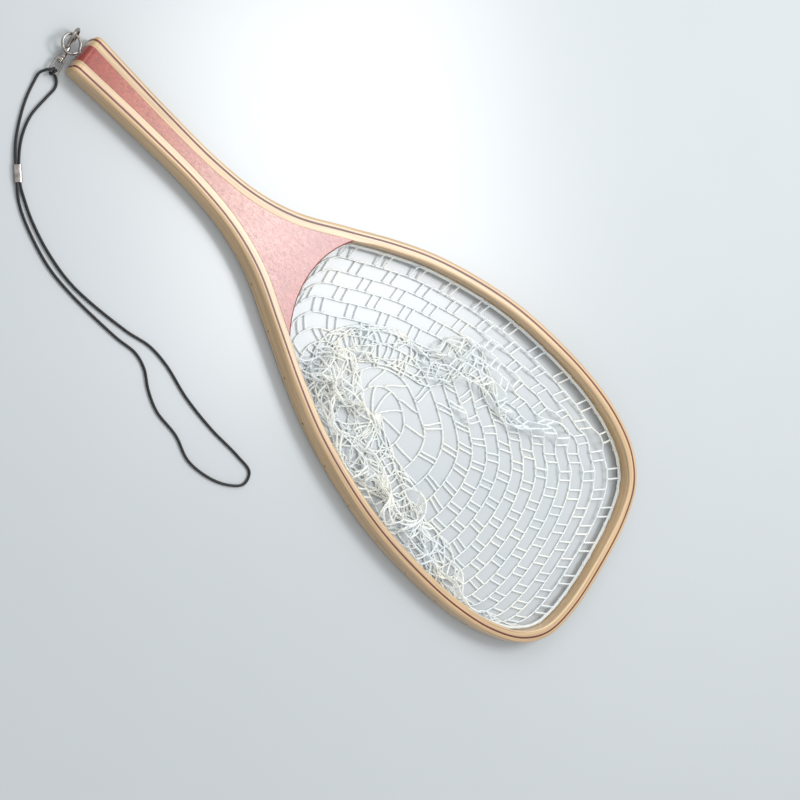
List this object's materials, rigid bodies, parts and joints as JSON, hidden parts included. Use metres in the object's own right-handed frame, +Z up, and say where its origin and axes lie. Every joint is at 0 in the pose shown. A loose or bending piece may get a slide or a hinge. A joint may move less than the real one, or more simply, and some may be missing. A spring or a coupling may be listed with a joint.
{
  "type": "landing net",
  "caption": "Wooden landing net: laminated hoop and handle, clear rubber net bag, and a cord wrist lanyard on a swivel snap through a screw eye.",
  "frame": {"origin": "middle of the underside of the wooden frame with its screw eye, on the surface that the net lies on", "axes": "+X along the net from the handle's butt to the hoop's tip, +Y across the hoop to the left of someone looking from the butt to the tip, +Z up out of the bag's mouth"},
  "size_m": [0.6214, 0.2819, 0.0161],
  "materials": {
    "light_wood": "pale ash or bamboo under clear varnish, rounded and sanded",
    "dark_wood": "thin dark red-brown lamination under clear varnish",
    "stained_wood": "figured wood stained red to pink under gloss varnish",
    "clear_rubber": "translucent moulded rubber, satin",
    "nickel": "bright nickel plate",
    "spring_steel": "plain steel",
    "black_cord": "braided black cord"
  },
  "bodies": {
    "net_frame": {"outer_lamination": "light_wood", "middle_lamination": "dark_wood", "inner_lamination": "light_wood", "handle_core": "stained_wood", "rubber_bag": "clear_rubber", "screw_eye": "nickel"},
    "lanyard": {"swivel_eye": "nickel", "cord_hitch": "black_cord", "lanyard_cord": "black_cord", "crimp_sleeve": "nickel"},
    "snap": {"snap_hook": "nickel", "gate_pin": "spring_steel", "gate_spring": "spring_steel", "swivel_rivet": "nickel"},
    "gate": {"snap_gate": "nickel"}
  },
  "joints": [
    {"name": "lanyard_swing", "type": "hinge", "parent": "net_frame", "child": "lanyard", "pos_m": [-0.3026, 0.0002, 0.008], "axis": [0, 0, 1], "range_deg": [-40, 5]},
    {"name": "snap_swivel", "type": "hinge", "parent": "lanyard", "child": "snap", "pos_m": [-0.30077, -0.01194, 0.00421], "axis": [-0.1264, 0.9881, 0.0873], "range_deg": [0, 60]},
    {"name": "gate_open", "type": "hinge", "parent": "snap", "child": "gate", "pos_m": [-0.30103, -0.00567, 0.00391], "axis": [0.8471, 0.0617, 0.5279], "range_deg": [0, 14], "stiffness_Nm_per_rad": 0.01, "springref_deg": -5.73}
  ]
}
